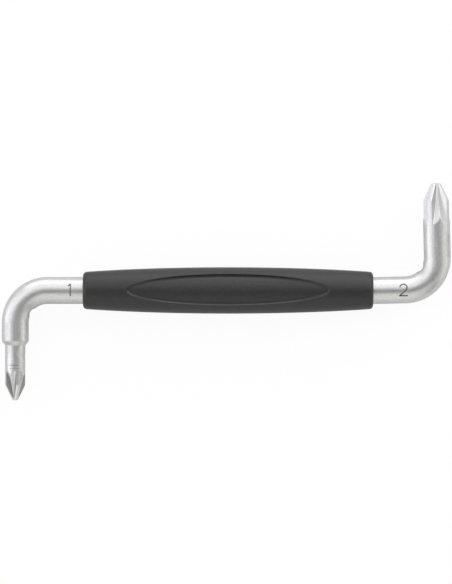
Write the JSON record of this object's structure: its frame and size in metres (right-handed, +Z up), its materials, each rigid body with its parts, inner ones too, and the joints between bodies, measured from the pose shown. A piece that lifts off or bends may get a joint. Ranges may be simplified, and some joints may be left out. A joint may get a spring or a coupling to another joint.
{
  "type": "offset screwdriver",
  "caption": "Offset screwdriver: a round steel bar bent to a flat Z, with a small ribbed cross tip on one arm and a larger one on the other, in a barrel-shaped moulded handle.",
  "frame": {"origin": "on the floor under the middle of the bar, with the tool lying flat", "axes": "+X along the handle towards the large tip, +Y the way the large tip points, +Z up"},
  "size_m": [0.1, 0.0484, 0.0093],
  "materials": {
    "blade": "satin plated",
    "handle": "fine matt moulding"
  },
  "bodies": {
    "root": {"blade": "blade", "handle": "handle"}
  },
  "joints": []
}
